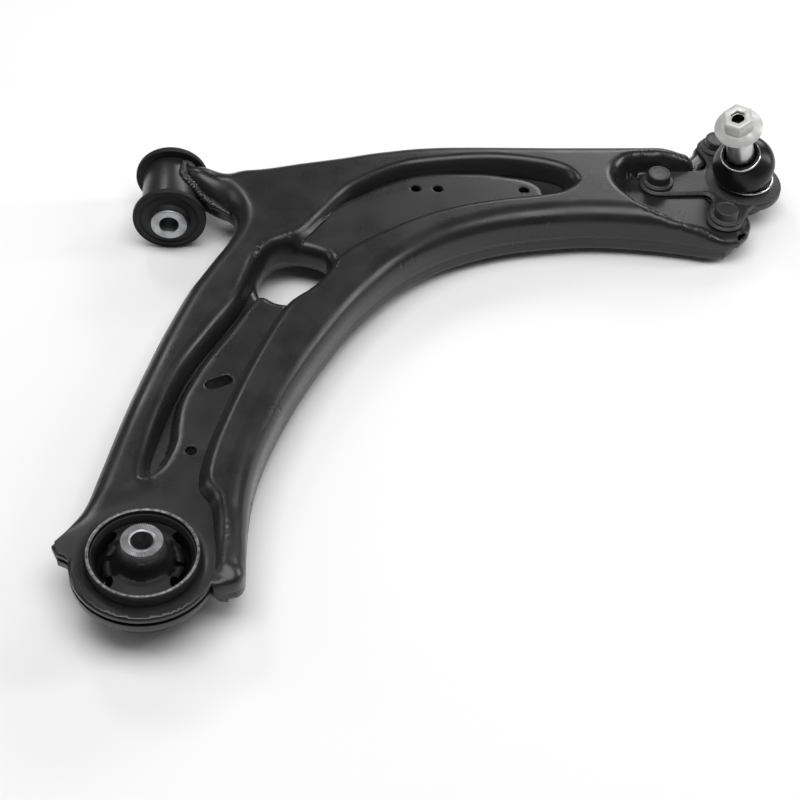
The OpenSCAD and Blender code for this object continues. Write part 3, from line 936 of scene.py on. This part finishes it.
# ------------------------------------------------------------- rear bush can
# A drawn steel can pressed into the collar of the arm. Its paint has worn to
# bare metal along the top rim.
def worn_rim_paint(name, low, high):
    """Baked paint worn bright between two heights, in metres."""
    made, nodes, links, shader = new_material(name)
    coat = place_group(nodes, links, finish, Colour=(0.014, 0.014, 0.015, 1), Dust=0.4,
        Gloss=0.33)
    coords = nodes.new("ShaderNodeTexCoord")
    split = nodes.new("ShaderNodeSeparateXYZ")
    links.new(coords.outputs["Object"], split.inputs[0])
    rim = remap(nodes, links, split.outputs["Z"], low, high)
    patch = remap(nodes, links, noise(nodes, links, coords.outputs["Object"], 420, 5), 0.28, 0.66)
    wear = arithmetic(nodes, links, "MULTIPLY", rim, patch)
    links.new(mix_colour(nodes, links, wear, coat.outputs["Colour"], (0.3, 0.3, 0.3, 1)),
        shader.inputs["Base Color"])
    links.new(arithmetic(nodes, links, "MULTIPLY", wear, 0.7), shader.inputs["Metallic"])
    links.new(coat.outputs["Roughness"], shader.inputs["Roughness"])
    bump(nodes, links, shader, coat.outputs["Height"], 0.00004)
    return made


can = turned("rear_bush_can_drawn", [(28.3, -14.5), (CAN_R, -14.5), (CAN_R, 16.2), (30.0, 17),
    (28.9, 17), (28.3, 16.6)], worn_rim_paint("can_paint", 0.0163, 0.0171), bevel=0.3)
dressed(can, "arm", "painted_steel", "rear_bush_can")

# ---------------------------------------------------------- rear bush rubber
# One moulding in the real bush: a lining in the can, a core on the sleeve and
# two arms along the arm's length, with stop pads in the voids on both sides.
lining = turned("rear_bush_lining", [(22.2, -13), (28.3, -14), (28.3, 14.6), (27.4, 14.6),
    (25.6, 11.5), (25.6, 1), (22.2, -3)], bush_rubber, bevel=0.5)
dressed(lining, "arm", "bush_rubber", "rear_bush_rubber")
RUBBER_TOP = 12.0
RUBBER_R = 25.8
VOID = (18.9, 15.3)
VOID_R = 4.2
PAD_R = 21.2


def moulding_height(p):
    """Top of the moulding: a cone at the sleeve, level arms and lower side pads."""
    x, y = p.T
    r = np.hypot(x, y)
    top = RUBBER_TOP - 1.5 * ease((r - 19) / 6)
    pads = ease((r - 15.6) / 2.6) * ease((12.5 - np.abs(y)) / 3)
    crescent = 1.1 * ease((r - 17.4) / 1.2) * ease((21 - r) / 1.4)
    notch = 3.5 * ease((2.6 - np.abs(y - 1)) / 1) * np.where(x < 0, 1, 0)
    return top - (4.2 - crescent + notch) * pads + 9.5 * ease((16.4 - r) / 4.6)


def plinth(points, faces, rims):
    """A closed body from a top face: its mirror image below and walls between."""
    count = len(points)
    below = points.copy()
    below[:, 2] = -points[:, 2] - 0.5
    sides = [
        (rim[i], rim[(i + 1) % len(rim)], rim[(i + 1) % len(rim)] + count, rim[i] + count)
        for rim in rims
        for i in range(len(rim))
    ]
    return np.vstack((points, below)), faces + [
        tuple(i + count for i in reversed(f)) for f in faces
    ] + sides


half = joined(
    arc((0, 0), 11.3, 0, 180, 0.9),
    even(np.array([(-11.3, 0), (-PAD_R, 0)]), 1.0),
    arc((0, 0), PAD_R, 180, 155, 1.0),
    arc((-VOID[0], VOID[1]), VOID_R, 270, 422, 0.7),
    arc((0, 0), RUBBER_R, 131, 49, 1.0),
    arc(VOID, VOID_R, 118, 270, 0.7),
    arc((0, 0), PAD_R, 25, 0, 1.0),
    even(np.array([(PAD_R, 0), (11.3, 0)]), 1.0),
)
top_points, top_faces, rims = sheet_mesh(half, [], [], 1.1, moulding_height)
for turn, name in ((0, "front"), (180, "back")):
    moulding = new_piece("rear_bush_moulding_" + name, *plinth(top_points, top_faces, rims),
        bush_rubber)
    placed(moulding, Matrix.Rotation(math.radians(turn), 4, "Z"))
    face_outwards(moulding)
    bpy.ops.object.shade_smooth_by_angle(angle=math.radians(50))
    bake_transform(moulding)
    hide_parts("rear_bush_rubber")

# ---------------------------------------------------------- rear inner sleeve
# Cold-headed steel sleeve. Radial serrations on both ends bite into the
# subframe when its bolt is tightened.
TEETH = 60
serrated_steel = bare_steel("serrated_sleeve", (0.50, 0.50, 0.51, 1), 0.45, (0.36, 0.36, 0.37, 1))
rear_sleeve = turned("rear_bush_inner_sleeve_serrated", [(6.15, -26.3), (7.0, -26.8),
    (7.6, -26.8), (11.2, -26.8), (11.2, 26.8), (7.6, 26.8), (7.0, 26.8), (6.15, 26.3)],
    serrated_steel, steps=2 * TEETH, bevel=0)
for vertex in rear_sleeve.data.vertices:
    x, y, z = vertex.co
    spoke = round((math.atan2(y, x) % (2 * math.pi)) * TEETH / math.pi)
    if abs(z) > 0.0267 and math.hypot(x, y) > 0.0073 and spoke % 2:
        vertex.co.z -= math.copysign(0.0006, z)
bpy.ops.object.shade_smooth_by_angle(angle=math.radians(14))
dressed(rear_sleeve, "rear_inner", "sleeve_steel", "rear_inner_sleeve")

# ---------------------------------------------------------- ball joint plate
# A forging with three bolted lobes and the ball's housing in one piece. Its
# top edges keep a small draft chamfer, and its skin is rougher than sheet.
LOBES = ((322, 327), (362, 292), (367, 365))
PLATE_TOP = 4.0
PLATE_T = 6.0


def plate_depth(p):
    """Smooth signed depth inside the plate's outline."""
    centre = np.array((BALL.x, BALL.y))
    depth = 26.0 - np.hypot(*(p - centre).T)
    soften = 7.0
    for lobe in LOBES:
        arm_vector = np.array(lobe) - centre
        t = np.clip((p - centre) @ arm_vector / (arm_vector @ arm_vector), 0, 1)
        web = 12.6 - 0.4 * t - np.hypot(*(p - centre - t[:, None] * arm_vector).T)
        h = np.clip(0.5 + 0.5 * (web - depth) / soften, 0, 1)
        depth = depth + (web - depth) * h + soften * h * (1 - h)
    return depth


turns = np.linspace(0, 2 * math.pi, 721)[:-1]
spokes = np.c_[np.cos(turns), np.sin(turns)]
reach_in, reach_out = np.full(720, 10.0), np.full(720, 90.0)
for _ in range(30):
    middle = (reach_in + reach_out) / 2
    inside = plate_depth(np.array((BALL.x, BALL.y)) + middle[:, None] * spokes) > 0
    reach_in, reach_out = np.where(inside, middle, reach_in), np.where(inside, reach_out, middle)
plate_outline = np.array((BALL.x, BALL.y)) + reach_in[:, None] * spokes
plate_outline = even(np.vstack((plate_outline, plate_outline[:1])), 1.2)[:-1]


def plate_height(p):
    """The plate's top, which falls a little over its drafted edge."""
    depth = np.maximum(plate_depth(p), 0)
    return PLATE_TOP - 1.5 * np.clip(1 - depth / 1.9, 0, 1) ** 1.5


closed_plate = np.vstack((plate_outline, plate_outline[:1]))
plate_guides = [(shifted(closed_plate, d), 0.5) for d in (0.35, 0.9, 1.5, 2.1, 2.8)]
points, faces, rims = sheet_mesh(plate_outline, [], plate_guides, 2.4, plate_height)
forged_paint = baked_paint("forged_paint", (0.026, 0.026, 0.027, 1), 0.42, 1.0, 0.0003)
plate = new_piece("ball_joint_plate_forged", points, faces, forged_paint, 40)
face_outwards(plate)
apply_modifier(plate, "SOLIDIFY", thickness=PLATE_T * MM, offset=-1, use_even_offset=False)
BALL_AXIS = Matrix.Translation(Vector((BALL.x, BALL.y, 0)) * MM)
housing = placed(turned("ball_housing", [(14, -12), (17.6, -12), (18.6, -10.5), (20.0, -3),
    (25.4, -2), (26.2, -1.0), (26.2, 2.6), (25.3, 4.0), (21.4, 5.0), (19.6, 5.5), (17.2, 5.7),
    (17.0, 12), (14, 12), (14, 9)], forged_paint, bevel=0.5), BALL_AXIS)
bpy.ops.object.select_all(action="DESELECT")
housing.select_set(True)
plate.select_set(True)
bpy.context.view_layer.objects.active = plate
bpy.ops.object.join()
dressed(plate, "arm", "painted_steel", "ball_joint_plate")

# ------------------------------------------------------------- stud and nut
# Ground and hardened ball stud with its flange nut, zinc plated. The stud's
# end has a socket that holds it while the nut is turned.
stud_steel = bare_steel("ground_stud", (0.6, 0.6, 0.61, 1), 0.34, (0.52, 0.52, 0.53, 1), -0.000019)
ball_steel = bare_steel("polished_ball", (0.7, 0.7, 0.71, 1), 0.12, (0.62, 0.62, 0.63, 1))
clip_steel = bare_steel("spring_wire", (0.75, 0.75, 0.76, 1), 0.2, (0.62, 0.62, 0.63, 1))
zinc = bare_steel("zinc_plate", (0.62, 0.62, 0.61, 1), 0.5, (0.5, 0.5, 0.49, 1))
zinc.node_tree.nodes["Principled BSDF"].inputs["Metallic"].default_value = 0.45
STUD_AXIS = Matrix.Translation(BALL * MM) @ Matrix.Rotation(math.radians(17), 4, "X") @ (
    Matrix.Rotation(math.radians(-15.5), 4, "Y"))
NUT_AT = 62.0
flange = turned("nut_flange", [(6.05, NUT_AT + 0.2), (7.5, NUT_AT), (14.6, NUT_AT),
    (15.4, NUT_AT + 0.6), (15.4, NUT_AT + 1.3), (14.8, NUT_AT + 1.9), (10.5, NUT_AT + 4.4),
    (6.05, NUT_AT + 4.4)], zinc, bevel=0.3)
bpy.ops.object.select_all(action="DESELECT")
bpy.ops.mesh.primitive_cylinder_add(vertices=6, radius=9 / math.cos(math.pi / 6) * MM,
    depth=9.4 * MM, end_fill_type="NOTHING")
hexagon = bpy.context.object
bpy.ops.object.mode_set(mode="EDIT")
bpy.ops.mesh.select_all(action="SELECT")
bpy.ops.transform.translate(value=(0, 0, (NUT_AT + 3.2 + 4.7) * MM))
bpy.ops.object.mode_set(mode="OBJECT")
top_z = max(v.co.z for v in hexagon.data.vertices)
bpy.ops.object.mode_set(mode="EDIT")
bpy.ops.mesh.select_all(action="DESELECT")
bpy.ops.object.mode_set(mode="OBJECT")
for vertex in hexagon.data.vertices:
    vertex.select = vertex.co.z > top_z - 1e-5
for edge in hexagon.data.edges:
    edge.select = all(hexagon.data.vertices[i].co.z > top_z - 1e-5 for i in edge.vertices)
bpy.ops.object.mode_set(mode="EDIT")
for shrink, rise in ((0.86, 0.0009), (0.78, 0.0), (0.70, -0.0008), (1.0, -0.004)):
    bpy.ops.mesh.extrude_region_move()
    bpy.ops.transform.resize(value=(shrink, shrink, 1), center_override=(0, 0, 0))
    bpy.ops.transform.translate(value=(0, 0, rise))
bpy.ops.object.mode_set(mode="OBJECT")
hexagon.data.materials.append(zinc)
apply_modifier(hexagon, "BEVEL", width=0.00035, segments=3, limit_method="ANGLE",
    angle_limit=math.radians(25))
bpy.ops.object.shade_smooth_by_angle(angle=math.radians(30))
face_outwards(hexagon)
bpy.ops.object.select_all(action="DESELECT")
hexagon.select_set(True)
flange.select_set(True)
bpy.context.view_layer.objects.active = flange
bpy.ops.object.join()
flange.name = flange.data.name = "flange_nut_zinc"
placed(flange, STUD_AXIS)
dressed(flange, "stud", "zinc_steel", "flange_nut")
stud = turned("ball_stud_ground", [(0, 9.3), (5.6, 10.4), (5.6, 22), (9.0, 28),
    (9.0, 33.5), (7.4, NUT_AT - 0.5), (6.0, NUT_AT), (6.0, NUT_AT + 9.6), (5.2, NUT_AT + 10.4),
    (3.9, NUT_AT + 10.4), (3.7, NUT_AT + 3.0), (0, NUT_AT + 2.0)], stud_steel, bevel=0.3)
# The inside of the socket takes the black bush rubber: painted shade in the hole, in place of the
# steel's own colour.
stud.data.materials.append(bush_rubber)
for polygon in stud.data.polygons:
    x, y, z = polygon.center
    if math.hypot(x, y) < 0.0041 and NUT_AT * MM < z:
        polygon.material_index = 1
placed(stud, STUD_AXIS)
dressed(stud, "stud", "ball_steel", "ball_stud")
for node, material in (("joint_ball", ball_steel),
    ("lower_boot_clip", clip_steel), ("upper_boot_clip", clip_steel)):
    for slot in bpy.data.objects[node].material_slots:
        slot.material = material

# ------------------------------------------------------------------- boot
# A moulded rubber boot keeps the grease in. A wire ring holds its foot on the
# housing and another its neck on the stud's shoulder. It is two pieces here.
boot_rubber = black_rubber("boot_rubber", (0.008, 0.008, 0.008, 1), 0.30, 0.35)
stud_direction = (STUD_AXIS.to_3x3() @ Vector((0, 0, 1))).normalized()
foot = Vector((BALL.x, BALL.y, 5.7))
neck = BALL + stud_direction * 33.3
bends = (foot, foot + Vector((0, 0, 13)), neck - stud_direction * 10, neck)
BOOT_PROFILE = ((0.0, 18.2), (0.03, 18.4), (0.06, 18.2), (0.09, 17.7), (0.14, 17.6),
    (0.19, 17.9), (0.24, 18.6), (0.30, 19.5), (0.36, 20.2), (0.43, 20.6), (0.50, 20.5),
    (0.58, 19.8), (0.66, 18.5), (0.73, 16.8), (0.79, 15.0), (0.84, 13.4), (0.87, 12.2),
    (0.90, 11.6), (0.95, 11.6), (0.975, 12.3), (1.0, 12.0))
ROUND = 72
boot_rings = []
knots_t = [t for t, _ in BOOT_PROFILE]
knots_r = [r for _, r in BOOT_PROFILE]
for step in range(49):
    t = step / 48
    r = float(np.interp(t, knots_t, knots_r))
    low, mid, high = (p.lerp(q, t) for p, q in zip(bends, bends[1:]))
    centre = low.lerp(mid, t).lerp(mid.lerp(high, t), t)
    tangent = (mid.lerp(high, t) - low.lerp(mid, t)).normalized()
    across = tangent.cross(Vector((0, 1, 0))).normalized()
    ahead = across.cross(tangent)
    boot_rings.append([centre + r * (across * math.cos(a) - ahead * math.sin(a))
        for a in (2 * math.pi * k / ROUND for k in range(ROUND))])
MIDDLE_RING = 22


def boot_part(name, rings):
    """A stretch of the boot as a closed shell."""
    points = [p for ring in rings for p in ring]
    faces = []
    for i in range(len(rings) - 1):
        for k in range(ROUND):
            m = (k + 1) % ROUND
            faces.append((i * ROUND + k, i * ROUND + m, (i + 1) * ROUND + m, (i + 1) * ROUND + k))
    part = new_piece(name, points, faces, boot_rubber, 60)
    face_outwards(part)
    apply_modifier(part, "SOLIDIFY", thickness=1.1 * MM, offset=-1)
    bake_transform(part)
    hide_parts("boot")


middle = sum((Vector(p) for p in boot_rings[MIDDLE_RING]), Vector()) / ROUND
lean = (boot_rings[MIDDLE_RING][0] - middle).cross(boot_rings[MIDDLE_RING][18] - middle)
lean = lean.normalized() if lean.z > 0 else -lean.normalized()
boot_part("boot_lower", boot_rings[: MIDDLE_RING + 1])
boot_part("boot_upper", boot_rings[MIDDLE_RING:])

# ------------------------------------------------------------ bolts and nuts
# Three flange bolts hold the ball joint's plate in the pocket, with hexagon
# flange nuts below. Heads and flanges are pressed and painted with the arm.
bolts = []
for x, y in LOBES:
    bolts.append(placed(turned("bolt", [(0, 11.6), (5.6, 11.6), (6.1, 12.0), (7.0, 12.0),
        (7.6, 11.4), (7.7, 6.4), (8.6, 5.9), (10.0, 5.8), (10.5, 5.2), (10.5, 4.1), (5, 4.0),
        (5, -17.6), (4.4, -18.2), (0, -18.2)], forged_paint, steps=64, bevel=0.25),
        Matrix.Translation(Vector((x, y, 0)) * MM)))
bpy.ops.object.select_all(action="DESELECT")
for bolt in bolts:
    bolt.select_set(True)
bpy.context.view_layer.objects.active = bolts[0]
bpy.ops.object.join()
bolts[0].name = bolts[0].data.name = "plate_flange_bolts"
dressed(bolts[0], "arm", "painted_steel", "plate_bolts")

for node in ("front_outer_sleeve", "housing_cover", "plate_nuts"):
    for slot in bpy.data.objects[node].material_slots:
        slot.material = forged_paint
liner = bare_steel("liner_plastic", (0.75, 0.72, 0.62, 1), 0.5, (0.7, 0.66, 0.56, 1))
liner.node_tree.nodes["Principled BSDF"].inputs["Metallic"].default_value = 0.0
bpy.data.objects["bearing_liner"].material_slots[0].material = liner
bpy.data.objects["preload_ring"].material_slots[0].material = bush_rubber
